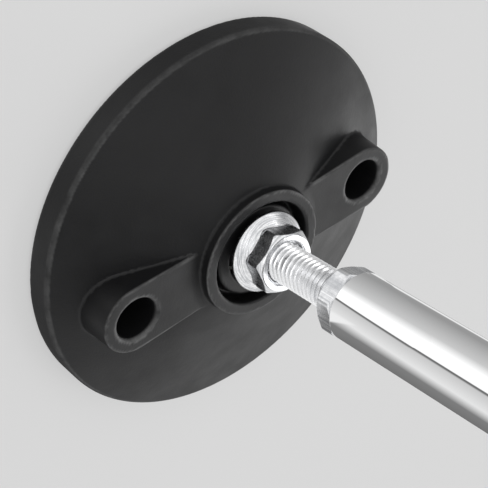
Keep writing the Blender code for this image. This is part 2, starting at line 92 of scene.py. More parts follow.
# Stem, nuts and leg, as heights above the floor with the stem upright
STUD_HEAD_RADIUS, STUD_HEAD = 7.1, (5.4, 8.4)
THREAD_RADIUS, THREAD_ROOT, THREAD_PITCH = 5.9, 4.95, 1.75
THREAD, THREAD_RUN_OUT, STEM_TOP = (24.6, 107.4), 106.6, 109.5
WASHER, WASHER_RADIUS = (28.2, 28.7), 9.6
NUT_APOTHEM, NUT_BORE, NUT_ENTRY = 9.0, 6.0, 7.0
NUT_FACE, NUT_BEVEL, NUT_CORNER = 8.7, math.radians(37.0), 0.6
FLANGE_RADIUS, FLANGE_RIM, FLANGE_TOP, FLANGE_SLOPE = 12.5, 1.0, 3.4, 0.75
CORNER_FOOT, CORNER_FOOT_HEIGHT, CORNER_SLOPE = 9.3, 3.0, 1.1       # where the flange nut's corners end
FLANGE_NUT, FLANGE_NUT_TURN = (29.0, 38.4), 39.0        # turn in degrees, from +X to a corner
JAM_NUT, JAM_NUT_TURN = (61.4, 67.7), 31.0
TUBE, TUBE_BORE, TUBE_RADIUS = (68.0, 265.0), 8.5, 10.0
LOWER_BUSH, LOWER_BUSH_BORE = (68.2, 92.0), 6.2
UPPER_BUSH, UPPER_BUSH_BORE = (243.0, 264.8), 5.15
BUSH_RADIUS = 8.2

ROUND = 96                      # facets round a turned piece


def lean(points, about_ball=True):
    """Turn upright points, or directions, of the stem to where the stem stands at rest."""
    centre = np.array((0.0, 0.0, BALL_CENTRE if about_ball else 0.0))
    c, s = math.cos(LEAN), math.sin(LEAN)
    turn = np.array(((1.0, 0.0, 0.0), (0.0, c, -s), (0.0, s, c)))
    return (np.asarray(points, float) - centre) @ turn.T + centre


# --- solids given by a distance field -------------------------------------------------

def round_max(a, b, radius):
    """Where two solids overlap, with the edge between them rounded."""
    return (np.minimum(-radius, np.maximum(a, b))
            + np.hypot(np.maximum(a + radius, 0.0), np.maximum(b + radius, 0.0)))


def round_min(a, b, radius):
    """Two solids joined, with a fillet in the corner between them."""
    return (np.maximum(radius, np.minimum(a, b))
            - np.hypot(np.maximum(radius - a, 0.0), np.maximum(radius - b, 0.0)))


def slope_of(field, points, reach):
    """The field's gradient at each point, measured across twice a reach."""
    slope = np.empty_like(points)
    for axis in range(3):
        shift = np.zeros(3)
        shift[axis] = reach
        slope[:, axis] = field(*(points + shift).T) - field(*(points - shift).T)
    return slope / (2.0 * reach)


def surface_of(field, low, high, step, soften=0.1):
    """Points, quads and normals of a field's zero surface, from one point in each cell it cuts.

    The step is a cell's size. A larger softening rounds the shading at crisp edges.
    """
    origin = np.array(low, float) - 1.37 * step
    axes = [np.arange(a, b + 2.0 * step, step) for a, b in zip(origin, high)]
    shape = tuple(len(a) for a in axes)
    grid = np.ix_(*[a.astype(np.float32) for a in axes])
    value = np.ascontiguousarray(np.broadcast_to(field(*grid), shape))
    stride = np.array((shape[1] * shape[2], shape[2], 1))
    cells, places, quads = [], [], []
    inside = value < 0.0
    for axis in range(3):
        near = [slice(None)] * 3
        far = [slice(None)] * 3
        near[axis], far[axis] = slice(0, -1), slice(1, None)
        at = np.argwhere(inside[tuple(near)] != inside[tuple(far)])
        beyond = at.copy()
        beyond[:, axis] += 1
        here, there = value[tuple(at.T)].astype(float), value[tuple(beyond.T)].astype(float)
        place = at.astype(float)
        place[:, axis] += here / (here - there)
        base = at @ stride
        u, v = stride[(axis + 1) % 3], stride[(axis + 2) % 3]
        corners = np.stack((base - u - v, base - v, base, base - u), axis=1)
        cells.append(corners.ravel())
        places.append(np.repeat(place, 4, axis=0))
        corners[here >= 0.0] = corners[here >= 0.0][:, ::-1]
        quads.append(corners)
    cells, places, quads = (np.concatenate(part) for part in (cells, places, quads))
    known, index, count = np.unique(cells, return_inverse=True, return_counts=True)
    points = np.stack([np.bincount(index, places[:, axis]) / count for axis in range(3)], axis=1)
    points = origin + step * points
    for _ in range(3):
        slope = slope_of(field, points, 0.02)
        steep = np.maximum((slope ** 2).sum(axis=1), 0.25)
        move = slope * (field(*points.T) / steep)[:, None]
        points -= np.clip(move, -0.4 * step, 0.4 * step)
    normals = slope_of(field, points, soften)
    normals /= np.maximum(np.linalg.norm(normals, axis=1), 1e-6)[:, None]
    return points, np.searchsorted(known, quads), normals


def sharpness(field, points, reach=0.45):
    """How sharply the surface bends outward at each point: 1 on a crisp outer edge."""
    total = -6.0 * field(*points.T)
    for axis in range(3):
        shift = np.zeros(3)
        shift[axis] = reach
        total += field(*(points + shift).T) + field(*(points - shift).T)
    return np.clip((total / reach ** 2 - 0.35) / 0.9, 0.0, 1.0)


# --- turned solids --------------------------------------------------------------------

def rounded(profile, steps=4):
    """Corners (radius, height, rounding) of a closed section, with each rounded corner as an arc."""
    points = []
    for index, (x, y, radius) in enumerate(profile):
        corner = np.array((x, y))
        before = np.array(profile[index - 1][:2]) - corner
        after = np.array(profile[(index + 1) % len(profile)][:2]) - corner
        if radius <= 0.0:
            points.append((x, y))
            continue
        before, after = before / np.linalg.norm(before), after / np.linalg.norm(after)
        half = math.acos(float(np.clip(before @ after, -1.0, 1.0))) / 2.0
        inward = (before + after) / np.linalg.norm(before + after)
        centre = corner + inward * radius / math.sin(half)
        reach = radius / math.tan(half)
        start, end = corner + before * reach - centre, corner + after * reach - centre
        sweep = math.pi - 2.0 * half
        for step in range(steps + 1):
            t = step / steps
            weight = (math.sin((1.0 - t) * sweep), math.sin(t * sweep))
            points.append(tuple(centre + (start * weight[0] + end * weight[1]) / math.sin(sweep)))
    return points


def sleeve(inner, outer, low, high, edge):
    """Section of a plain ring or tube with its four edges rounded."""
    return rounded([(inner, low, edge), (outer, low, edge), (outer, high, edge), (inner, high, edge)])


def turned(section, segments):
    """A turned solid from a closed section that runs anticlockwise, outer side up."""
    count = len(section)
    angles = math.tau * np.arange(segments) / segments
    radius, height = np.array(section, float).T
    points = np.stack((np.outer(np.cos(angles), radius), np.outer(np.sin(angles), radius),
                       np.broadcast_to(height, (segments, count))), axis=-1).reshape(-1, 3)
    here, row = np.meshgrid(np.arange(segments), np.arange(count), indexing="ij")
    beside, above = (here + 1) % segments, (row + 1) % count
    quads = np.stack((here * count + row, beside * count + row,
                      beside * count + above, here * count + above), axis=-1).reshape(-1, 4)
    return points, quads


def solid_rows(rows):
    """A closed solid from rows of points round an axis, the first and last drawn in to it."""
    rows = np.asarray(rows, float)
    count, around = rows.shape[:2]
    points = rows.reshape(-1, 3)
    row, here = np.meshgrid(np.arange(count - 1), np.arange(around - 1), indexing="ij")
    quads = np.stack((row * around + here, row * around + here + 1,
                      (row + 1) * around + here + 1, (row + 1) * around + here), axis=-1)
    return points, quads.reshape(-1, 4)


# --- objects --------------------------------------------------------------------------

def make_piece(name, body, nodes, surface, points, faces,
               normals=None, sharp=30.0, merge=0.0, painted_highlight=None):
    """A smooth mesh that rides on a body and stands for CAD nodes.

    It takes the normals given, or else breaks its shading at edges over an angle in degrees.
    Points nearer to each other than the merge distance, in millimetres, become one.
    """
    mesh = bpy.data.meshes.new(name)
    mesh.from_pydata((np.asarray(points) * MM).tolist(), [], np.asarray(faces).tolist())
    # An optional share per point of a painted edge highlight, kept on the mesh for its material.
    if painted_highlight is not None:
        mesh.attributes.new("painted_highlight", 'FLOAT', 'POINT').data.foreach_set("value", painted_highlight)
    if merge:
        bm = bmesh.new()
        bm.from_mesh(mesh)
        bmesh.ops.remove_doubles(bm, verts=bm.verts, dist=merge * MM)
        bmesh.ops.dissolve_degenerate(bm, edges=bm.edges, dist=merge * MM)
        bm.to_mesh(mesh)
        bm.free()
    mesh.materials.append(SURFACES[surface])
    mesh.shade_smooth()
    if normals is not None:
        mesh.normals_split_custom_set_from_vertices(np.asarray(normals).tolist())
    elif sharp:
        mesh.set_sharp_from_angle(angle=math.radians(sharp))
    made = bpy.data.objects.new(name, mesh)
    bpy.context.scene.collection.objects.link(made)
    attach(made, body)
    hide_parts(*nodes)
    return made


# --- materials ------------------------------------------------------------------------

class Shader:
    """A Principled material whose colour, roughness and bump come from object-space noise."""

    def __init__(self, name, **values):
        self.material = bpy.data.materials.new(name)
        self.material.use_nodes = True
        self.tree = self.material.node_tree
        self.shader = self.tree.nodes["Principled BSDF"]
        for socket, value in values.items():
            self.shader.inputs[socket.replace("_", " ")].default_value = value
        self.place = self.tree.nodes.new("ShaderNodeTexCoord").outputs["Object"]

    def node(self, kind, inputs=(), **settings):
        """A node with its inputs set or linked, and its own settings."""
        made = self.tree.nodes.new(kind)
        for key, value in settings.items():
            setattr(made, key, value)
        for key, value in dict(inputs).items():
            if isinstance(value, bpy.types.NodeSocket):
                self.tree.links.new(value, made.inputs[key])
            else:
                made.inputs[key].default_value = value
        return made

    def noise(self, size_mm, detail=3.0, roughness=0.5):
        """Noise with features of about a size, in millimetres."""
        made = self.node("ShaderNodeTexNoise", {"Vector": self.place, "Detail": detail,
                                                "Scale": 1.0 / (size_mm * MM), "Roughness": roughness})
        return made.outputs["Fac"]

    def spread(self, value, low, high, start=0.3, end=0.7):
        """A value's span, such as the middle of a noise's, spread over another span."""
        made = self.node("ShaderNodeMapRange", {"Value": value, "From Min": start, "From Max": end,
                                                "To Min": low, "To Max": high})
        return made.outputs["Result"]

    def blend(self, value, first, second):
        """A colour between two, by a value from 0 to 1."""
        made = self.node("ShaderNodeMix", data_type='RGBA')
        self.tree.links.new(value, made.inputs["Factor"])
        for key, colour in ((6, first), (7, second)):
            if isinstance(colour, bpy.types.NodeSocket):
                self.tree.links.new(colour, made.inputs[key])
            else:
                made.inputs[key].default_value = (*colour, 1.0)
        return made.outputs[2]

    def times(self, first, second):
        return self.node("ShaderNodeMath", {0: first, 1: second}, operation='MULTIPLY').outputs[0]

    def feed(self, socket, value):
        self.tree.links.new(value, self.shader.inputs[socket])

    def bump(self, layers):
        """Bumps one over the other: each a height and its depth in millimetres."""
        normal = None
        for height, depth in layers:
            made = self.node("ShaderNodeBump", {"Height": height, "Strength": 1.0,
                                                "Distance": depth * MM})
            if normal is not None:
                self.tree.links.new(normal, made.inputs["Normal"])
            normal = made.outputs["Normal"]
        self.feed("Normal", normal)


def nylon_material():
    """Moulded black nylon: a fine spark-eroded grain, faint flow marks and a painted highlight along its
    outer edges.
    """
    s = Shader("moulded_black_nylon", IOR=1.45, Specular_IOR_Level=0.32)
    body = s.blend(s.spread(s.noise(26.0, 2.0), 0.0, 1.0), (0.0045, 0.0045, 0.005), (0.0075, 0.0075, 0.008))
    # Painted highlight: the outer edges that the mesh marks, broken up by noise, are lightened towards a pale
    # grey.
    edge = s.node("ShaderNodeAttribute", attribute_name="painted_highlight").outputs["Fac"]
    edge = s.times(edge, s.spread(s.noise(5.0, 4.0, 0.65), 0.15, 1.0))
    s.feed("Base Color", s.blend(edge, body, (0.11, 0.11, 0.11)))
    s.feed("Roughness", s.spread(s.noise(9.0, 4.0), 0.38, 0.50))
    s.bump(((s.noise(0.55, 2.0), 0.040), (s.noise(2.4, 3.0), 0.035)))
    return s.material


def rubber_material():
    """Dull moulded rubber."""
    s = Shader("moulded_black_rubber", IOR=1.5)
    tone = s.spread(s.noise(14.0), 0.0, 1.0)
    s.feed("Base Color", s.blend(tone, (0.018, 0.018, 0.019), (0.028, 0.028, 0.028)))
    s.feed("Roughness", s.spread(s.noise(3.0, 4.0), 0.75, 0.92))
    s.bump(((s.noise(0.7, 3.0), 0.05),))
    return s.material


def acetal_material(name, low, high):
    """Turned or moulded acetal, between two colours."""
    s = Shader(name, IOR=1.48, Specular_IOR_Level=0.3)
    s.feed("Base Color", s.blend(s.spread(s.noise(8.0), 0.0, 1.0), low, high))
    s.feed("Roughness", s.spread(s.noise(2.0, 4.0), 0.45, 0.6))
    s.bump(((s.noise(0.5, 2.0), 0.01),))
    return s.material


def zinc_material(name, dull, marked):
    """Bright zinc plate: cloudy mottling, a fine satin grain and turning marks round the stem.

    Its dullest spots have the brightness given, and the marks are full at 1 and absent at 0.
    """
    s = Shader(name, Metallic=1.0)
    cloud = s.noise(1.3, 5.0, 0.65)
    upright = s.node("ShaderNodeMapping", {"Vector": s.place, "Rotation": (-LEAN, 0.0, 0.0)})
    parts = s.node("ShaderNodeSeparateXYZ", {"Vector": upright.outputs[0]})
    flat = s.node("ShaderNodeCombineXYZ", {"X": parts.outputs["X"], "Y": parts.outputs["Y"]})
    radius = s.node("ShaderNodeVectorMath", {0: flat.outputs[0]}, operation='LENGTH').outputs["Value"]
    turn = s.node("ShaderNodeMath", {0: parts.outputs["Y"], 1: parts.outputs["X"]}, operation='ARCTAN2')
    along = s.node("ShaderNodeCombineXYZ", {"X": radius, "Y": s.times(turn.outputs[0], 0.0006)})
    marks = s.node("ShaderNodeTexNoise", {"Vector": along.outputs[0], "Scale": 2600.0, "Detail": 3.0,
                                          "Roughness": 0.6}).outputs["Fac"]
    tone = s.times(s.spread(cloud, 0.5, 1.0), s.spread(marks, 1.0 - 0.7 * marked, 1.0, 0.38, 0.58))
    s.feed("Base Color", s.blend(tone, (dull, dull + 0.01, dull + 0.03), (0.97, 0.972, 0.98)))
    s.feed("Roughness", s.spread(cloud, 0.32, 0.18))
    s.bump(((s.noise(0.40, 3.0), 0.014), (s.noise(1.8, 2.0), 0.012), (marks, 0.030 * marked)))
    return s.material


def spring_steel_material():
    """Darkened spring steel with a trace of oil."""
    s = Shader("oiled_spring_steel", Metallic=1.0)
    s.feed("Base Color", s.blend(s.spread(s.noise(3.0), 0.0, 1.0), (0.28, 0.28, 0.30), (0.42, 0.42, 0.43)))
    s.feed("Roughness", s.spread(s.noise(1.0, 4.0), 0.28, 0.42))
    s.bump(((s.noise(0.6, 3.0), 0.01),))
    return s.material


def chrome_material():
    """Mirror chrome with barely visible haze and polishing waves."""
    s = Shader("mirror_chrome", Metallic=1.0)
    s.feed("Base Color", s.blend(s.spread(s.noise(30.0), 0.0, 1.0), (0.93, 0.935, 0.94), (0.95, 0.95, 0.952)))
    s.feed("Roughness", s.spread(s.noise(5.0, 4.0), 0.02, 0.04))
    s.bump(((s.noise(18.0, 1.0), 0.002),))
    return s.material


SURFACES = {
    "black_nylon": nylon_material(),
    "black_rubber": rubber_material(),
    "black_acetal": acetal_material("black_acetal_resin", (0.016, 0.016, 0.017), (0.024, 0.024, 0.025)),
    "natural_acetal": acetal_material("natural_acetal_resin", (0.74, 0.73, 0.68), (0.82, 0.81, 0.77)),
    "zinc_plate": zinc_material("bright_zinc_plate", 0.38, 1.0),
    # The thread's zinc is a lighter copy of the plate: its pale colour paints in the light on the thread's
    # flanks.
    "zinc_thread": zinc_material("rolled_zinc_thread", 0.72, 0.1),
    "spring_steel": spring_steel_material(),
    "chrome": chrome_material(),
}


# --- foot -----------------------------------------------------------------------------

def lug_field(ax, ay, z, shell):
    """A bolt lug: flat top, rounded end, drafted sides that draw in towards the hub."""
    taper = math.atan(LUG_TAPER / (LUG_CENTRE - LUG_INNER_END))
    out = ax - LUG_CENTRE
    end = np.hypot(out, ay) - LUG_RADIUS
    side = ay * math.cos(taper) - out * math.sin(taper) - LUG_RADIUS
    outline = np.where(out * math.cos(taper) + ay * math.sin(taper) > 0.0, end, side)
    outline = outline - LUG_DRAFT * np.clip((LUG_TOP - z) / 12.0, 0.0, 1.2)
    lug = round_max(outline, z - LUG_TOP, LUG_EDGE)
    lug = np.maximum(lug, LUG_INNER_END - ax)
    return np.maximum(lug, -shell - SHELL / 2.0)


def under_cone(ax, ay, r, shell):
    """The hollows under the cone, between its ribs, ring rib, hub wall and bosses."""
    inner = np.maximum(HUB_WALL - r, r - RING_RIB_RADIUS + RIB / 2.0)
    outer = np.maximum(RING_RIB_RADIUS + RIB / 2.0 - r, r - CAVITY_RADIUS)
    hollow = np.minimum(inner, outer)
    for angle in RIB_ANGLES:
        rib = np.abs(ax * math.sin(angle) - ay * math.cos(angle)) - RIB / 2.0
        hollow = round_max(hollow, -rib, RIB_FILLET)
    screw = np.hypot(ax - SOLE_SCREW_AT, ay - SOLE_SCREW_AT)
    hollow = round_max(hollow, SCREW_BOSS - screw, RIB_FILLET)
    hollow = round_max(hollow, LUG_BOSS - np.hypot(ax - LUG_CENTRE, ay), RIB_FILLET)
    return round_max(hollow, shell + SHELL * CONE_COS, RIB_FILLET)


def in_recess(body, r, z):
    """The body with its recess, the collar in the recess and the neck opening through the collar."""
    body = round_max(body, -round_max(r - RECESS_RADIUS, RECESS_FLOOR - z, RECESS_COVE), RECESS_EDGE)
    rise = np.clip((z - RECESS_FLOOR) / (COLLAR_TOP - RECESS_FLOOR), 0.0, 1.2)
    side = r - COLLAR_FOOT + (COLLAR_FOOT - COLLAR_RADIUS) * rise
    collar = round_max(side, z - COLLAR_TOP, COLLAR_EDGE)
    body = round_min(body, np.maximum(collar, RECESS_FLOOR - 1.0 - z), 0.3)
    return round_max(body, NECK_OPENING + NECK_FLARE * rise - r, NECK_EDGE)


def foot_field(x, y, z):
    """The whole foot moulding, the same in all four quarters."""
    ax, ay, r = np.abs(x), np.abs(y), np.hypot(x, y)
    shell = (z - CONE_TOP + (r - HUB_RADIUS) * CONE_SLOPE) * CONE_COS
    body = round_max(shell, r - FOOT_RADIUS, RIM_ROUND)
    body = round_min(body, round_max(r - HUB_RADIUS, z - HUB_TOP, HUB_EDGE), HUB_FILLET)
    body = round_min(body, lug_field(ax, ay, z, shell), LUG_EDGE)
    body = round_max(body, RIM_BOTTOM - z, RIM_EDGE)
    body = in_recess(body, r, z)
    body = round_max(body, -np.maximum(r - POCKET_RADIUS, z - POCKET_TOP), 0.2)
    body = np.maximum(body, -np.maximum(r - COVER_POCKET_RADIUS, z - COVER_POCKET_TOP))
    body = np.maximum(body, -np.maximum(r - SOLE_POCKET, z - SOLE_SEAT))
    body = round_max(body, -under_cone(ax, ay, r, shell), 0.3)
    bore = np.hypot(ax - LUG_CENTRE, ay)
    body = round_max(body, (LUG_HOLE + LUG_BEVEL - bore + z - LUG_TOP) * math.sqrt(0.5), 0.3)
    body = round_max(body, LUG_HOLE - bore, 0.3)
    for at, radius, top in ((SOLE_SCREW_AT, SOLE_SCREW_HOLE, SOLE_SCREW_HOLE_TOP),
                            (COVER_SCREW_AT, COVER_SCREW_HOLE, COVER_SCREW_HOLE_TOP)):
        hole = np.hypot(ax - at, ay - at) - radius
        body = np.maximum(body, -np.maximum(hole, z - top))
    return body


def build_foot():
    """The foot moulding, with a painted highlight on its outer edges and none inside the recess."""
    half = FOOT_RADIUS
    shape = surface_of(foot_field, (-half, -half, RIM_BOTTOM), (half, half, HUB_TOP), step=0.76)
    x, y, _ = shape[0].T
    # Only edges outside the recess get the painted highlight.
    outside_recess = np.clip((np.hypot(x, y) - RECESS_RADIUS - 1.2) / 0.8, 0.0, 1.0)
    make_piece("foot_moulding", "foot", ["foot_pad"], "black_nylon", *shape,
               painted_highlight=sharpness(foot_field, shape[0]) * outside_recess)


def sole_field(x, y, z):
    """Rubber sole: two deep tread grooves, fine concentric grooves, bolt and screw holes."""
    ax, ay, r = np.abs(x), np.abs(y), np.hypot(x, y)
    body = round_max(round_max(r - SOLE_RADIUS, -z, 0.5), z - SOLE_THICKNESS, 0.15)
    for radius in TREAD_RADII:
        body = np.maximum(body, -np.maximum(np.abs(r - radius) - TREAD_WIDTH / 2.0, z - TREAD_DEPTH))
    across = np.abs((r % RIBBING_PITCH) - RIBBING_PITCH / 2.0) - RIBBING_WIDTH / 2.0
    groove = np.maximum(across, z - RIBBING_DEPTH)
    groove = np.maximum(groove, np.maximum(RIBBING[0] - r, r - RIBBING[1]))
    screw = np.hypot(ax - SOLE_SCREW_AT, ay - SOLE_SCREW_AT)
    bolt = np.hypot(ax - LUG_CENTRE, ay)
    groove = np.maximum(groove, np.maximum(6.2 - screw, 10.0 - bolt))
    body = np.maximum(body, -groove)
    body = round_max(body, SOLE_BOLT_HOLE - bolt, 0.3)
    body = np.maximum(body, SOLE_SCREW_HOLE - screw)
    sink = screw - SOLE_SCREW_SINK
    return np.maximum(body, -np.maximum(sink, sink + z - 0.8))


def build_sole():
    low, high = (-SOLE_RADIUS, -SOLE_RADIUS, 0.0), (SOLE_RADIUS, SOLE_RADIUS, SOLE_THICKNESS)
    shape = surface_of(sole_field, low, high, step=0.62, soften=0.05)
    make_piece("tread_sole", "foot", ["rubber_sole"], "black_rubber", *shape)


def screw_field(head, shank, length):
    """A countersunk screw standing on its head, with a cross recess and a threaded shank."""
    def field(x, y, z):
        r = np.hypot(x, y)
        turn = np.arctan2(y, x) / math.tau
        thread = 0.22 * (np.abs(((z / 1.1 - turn) % 1.0) - 0.5) * 2.0 - 1.0)
        tip = (r - shank + (z - length + shank * 1.6) * 0.55) * 0.87
        rod = round_max(r - shank - np.where(z > head, thread, 0.0), tip, 0.2)
        rod = round_max(rod, z - length, 0.1)
        top = round_max(r - head, (r - head + z - 0.3) * math.sqrt(0.5), 0.05)
        body = np.minimum(rod, top)
        body = round_max(body, -z, 0.15)
        reach = head * 0.55
        slot_width = head * 0.12 + 0.12 - 0.1 * z
        across = np.minimum(np.maximum(np.abs(x) - slot_width, np.abs(y) - reach + 0.5 * z),
                            np.maximum(np.abs(y) - slot_width, np.abs(x) - reach + 0.5 * z))
        return np.maximum(body, -np.maximum(across, z - head * 0.55))
    return field


def build_screws(kind, at, head, shank, bottom, top):
    """Four countersunk screws, at the corners of a square, with their heads down."""
    length = top - bottom
    field = screw_field(head, shank, length)
    points, quads, normals = surface_of(field, (-head, -head, 0.0), (head, head, length),
                                        step=0.17, soften=0.04)
    for index, (sx, sy) in enumerate(((1, 1), (-1, 1), (-1, -1), (1, -1))):
        centre = np.array((sx * at, sy * at, bottom))
        node = f"{kind}_{index + 1}"
        make_piece(f"{node}_fine", "foot", [node], "zinc_plate", points + centre, quads, normals)


def cover_field(x, y, z):
    """The socket cover: a plate with a hole for the stem's head and four countersunk holes."""
    r = np.hypot(x, y)
    middle, half = sum(COVER) / 2.0, (COVER[1] - COVER[0]) / 2.0
    body = round_max(round_max(COVER_HOLE - r, r - COVER_RADIUS, 0.1), np.abs(z - middle) - half, 0.15)
    screw = np.hypot(np.abs(x) - COVER_SCREW_AT, np.abs(y) - COVER_SCREW_AT)
    body = np.maximum(body, COVER_SCREW_HOLE - screw)
    return np.maximum(body, -(screw - COVER_SCREW_SINK + np.maximum(z - 3.8, 0.0)) * 0.8)


def sphere_arc(radius, low, high, steps=14):
    """Section points on a sphere about the ball's centre, between two heights from it."""
    start, end = math.asin(low / radius), math.asin(high / radius)
    for step in range(steps + 1):
        angle = start + (end - start) * step / steps
        yield radius * math.cos(angle), BALL_CENTRE + radius * math.sin(angle)


def build_socket():
    """The cover under the hub, the two seats of the ball and the dished washer that preloads them."""
    low, high = (-COVER_RADIUS, -COVER_RADIUS, COVER[0]), (COVER_RADIUS, COVER_RADIUS, COVER[1])
    make_piece("socket_cover_fine", "foot", ["socket_cover"], "zinc_plate",
               *surface_of(cover_field, low, high, step=0.4, soften=0.05))
    for name, (low, high) in (("upper_ball_seat", UPPER_SEAT), ("lower_ball_seat", LOWER_SEAT)):
        section = list(sphere_arc(SEAT_BORE, high, low))
        bottom, top = BALL_CENTRE + low, BALL_CENTRE + high
        section += rounded([(BALL_RADIUS, bottom, 0.0), (SEAT_RADIUS, bottom, 0.3),
                            (SEAT_RADIUS, top, 0.3), (BALL_RADIUS, top, 0.0)])[1:-1]
        make_piece(f"{name}_fine", "seats", [name], "natural_acetal", *turned(section, ROUND))
    washer = rounded([(10.4, 5.55, 0.08), (14.1, 5.15, 0.08), (14.1, 5.65, 0.08), (10.4, 6.05, 0.08)])
    make_piece("preload_washer_fine", "seats", ["preload_washer"], "spring_steel", *turned(washer, ROUND))


# --- ball, stem and nuts --------------------------------------------------------------

def build_ball():
    """The swivel ball with its neck, bored for the stem and counterbored for the stem's head."""
    meet = math.sqrt(BALL_RADIUS ** 2 - BALL_NECK ** 2)
    sink, sink_top, flat = 7.4, 8.7, BALL_CENTRE + BALL_FLAT
    section = list(sphere_arc(BALL_RADIUS, BALL_FLAT, meet, 24))
    section += rounded([(BALL_NECK, 20.0, 0.0), (BALL_NECK, BALL_NECK_TOP, 0.4),
                        (BALL_BORE, BALL_NECK_TOP, 0.2), (BALL_BORE, sink_top, 0.0),
                        (sink, sink_top, 0.0), (sink, flat, 0.2), (sink + 1.0, flat, 0.0)])[1:-1]
    points, quads = turned(section, ROUND)
    make_piece("swivel_ball_fine", "ball", ["swivel_ball"], "black_acetal", lean(points), quads)


def thread_radius(angle, height):
    """Radius of a 60 degree thread with rounded crests, chamfered off at its top."""
    crest_flat, root_flat = 0.125, 0.25         # shares of the pitch
    phase = (height / THREAD_PITCH - angle / math.tau) % 1.0
    away = np.abs(phase - 0.5)
    flank_end = (1.0 - root_flat) / 2.0
    flank = np.clip((flank_end - away) / (flank_end - crest_flat / 2.0), 0.0, 1.0)
    crest = flank + 0.05 * np.sin(math.tau * flank) * (1.0 - flank)
    radius = THREAD_ROOT + (THREAD_RADIUS - THREAD_ROOT) * crest
    return np.minimum(radius, THREAD_RADIUS + (THREAD_RUN_OUT - height) * 0.9)


def build_stud():
    """The stem: a round head in the ball, a plain shank, a helical thread and a chamfered end."""
    low, high = THREAD
    angle = np.linspace(0.0, math.tau, 73)

    def ring(radius, height):
        return np.stack((radius * np.cos(angle), radius * np.sin(angle),
                         np.broadcast_to(height, angle.shape)), axis=-1)

    head = rounded([(0.0, STUD_HEAD[0], 0.0), (STUD_HEAD_RADIUS, STUD_HEAD[0], 0.4),
                    (STUD_HEAD_RADIUS, STUD_HEAD[1], 0.3), (THREAD_RADIUS, STUD_HEAD[1], 0.0)])
    rows = [ring(radius, height) for radius, height in head]
    rows += [ring(THREAD_RADIUS, height) for height in (10.0, 16.0, 22.0, 23.4)]
    spots = (0.0, 0.09, 0.125, 0.17, 0.24, 0.32, 0.40, 0.4375,      # rows of points in one pitch
             0.5, 0.5625, 0.60, 0.68, 0.76, 0.83, 0.875, 0.91)
    turns = math.ceil((high - low) / THREAD_PITCH) + 2
    for turn in range(-1, turns):
        for spot in spots:
            base = (math.floor(low / THREAD_PITCH) + turn + spot) * THREAD_PITCH
            height = np.clip(base + THREAD_PITCH * angle / math.tau, low, high)
            rows.append(ring(thread_radius(angle, height), height))
    rows += [ring(4.0, STEM_TOP - 0.2), ring(3.7, STEM_TOP), ring(0.0, STEM_TOP)]
    points, quads = solid_rows(rows)
    make_piece("threaded_stud_fine", "stem", ["threaded_stud"], "zinc_thread", lean(points), quads,
               sharp=55.0, merge=0.002)


def hexagon(x, y, apothem, corner_angle, rounding):
    """A hexagon's outline with rounded corners, one of them at an angle in degrees."""
    outline = None
    for index in range(3):
        angle = math.radians(corner_angle + 30.0 + 60.0 * index)
        side = np.abs(x * math.cos(angle) + y * math.sin(angle)) - apothem
        outline = side if outline is None else round_max(outline, side, rounding)
    return outline


def nut_field(low, high, corner_angle, flanged):
    """A chamfered hexagon nut, on a conical flange if asked, with countersunk thread entries."""
    def chamfer(r, away):
        return (away + (r - NUT_FACE) * math.tan(NUT_BEVEL)) * math.cos(NUT_BEVEL)

    def field(x, y, z):
        r = np.hypot(x, y)
        body = hexagon(x, y, NUT_APOTHEM, corner_angle, NUT_CORNER)
        body = round_max(body, z - high, 0.15)
        body = round_max(body, chamfer(r, z - high), 0.2)
        if flanged:
            cone = ((z - low - FLANGE_RIM) + (r - FLANGE_RADIUS) * FLANGE_SLOPE) * 0.8
            flange = round_max(round_max(r - FLANGE_RADIUS, cone, 0.3), z - low - FLANGE_TOP, 0.3)
            foot = r - CORNER_FOOT - (z - low - CORNER_FOOT_HEIGHT) * CORNER_SLOPE
            body = round_max(body, foot * 0.67, 0.5)
            body = round_min(body, flange, 0.7)
            body = round_max(body, low - z, 0.2)
        else:
            body = round_max(body, low - z, 0.15)
            body = round_max(body, chamfer(r, low - z), 0.2)
        body = np.maximum(body, NUT_BORE - r)
        for depth in (high - z, z - low):
            body = round_max(body, (NUT_ENTRY - r - depth) * math.sqrt(0.5), 0.08)
        return body
    return field


def build_nuts():
    """The flange nut, the jam nut, and the washer between the flange and the ball's neck."""
    for name, body, node, reach, (low, high), angle, flanged in (
            ("flange_nut_fine", "stem", "flange_nut", FLANGE_RADIUS, FLANGE_NUT, FLANGE_NUT_TURN, True),
            ("jam_nut_fine", "lock", "jam_nut", 10.4, JAM_NUT, JAM_NUT_TURN, False)):
        field = nut_field(low, high, angle, flanged)
        points, quads, normals = surface_of(field, (-reach, -reach, low), (reach, reach, high),
                                            step=0.24, soften=0.05)
        make_piece(name, body, [node], "zinc_plate", lean(points), quads, lean(normals, False))
    points, quads = turned(sleeve(BALL_BORE, WASHER_RADIUS, *WASHER, 0.1), ROUND)
    make_piece("thrust_washer_fine", "stem", ["thrust_washer"], "spring_steel", lean(points), quads)


def build_leg():
    """The chromed tube and the bushes in its two ends, all sleeves with rounded edges."""
    for name, node, inner, outer, (low, high), edge, surface in (
            ("chrome_tube", "leg_tube", TUBE_BORE, TUBE_RADIUS, TUBE, 0.3, "chrome"),
            ("lower_bush_fine", "lower_tube_bush", LOWER_BUSH_BORE, BUSH_RADIUS, LOWER_BUSH, 0.4,
             "zinc_plate"),
            ("upper_bush_fine", "upper_tube_bush", UPPER_BUSH_BORE, BUSH_RADIUS, UPPER_BUSH, 0.4,
             "zinc_plate")):
        points, quads = turned(sleeve(inner, outer, low, high, edge), 160)
        make_piece(name, "leg", [node], surface, lean(points), quads)


# --- stage, light and camera ----------------------------------------------------------

BACKDROP = 0.66                 # radiance of the plain background
FLOOR_GREY, FLOOR_GLOW = 0.22, 0.46
DARK_QUARTER = (-0.12, 0.33, 0.936)     # direction in which the studio is dark
DARK_LEVEL = 0.08
DARK_REACH = (0.82, 0.95)       # cosines of the angles from that direction, from pale to dark
HORIZON = 0.08                  # half height of the blend between the studio and its low bands
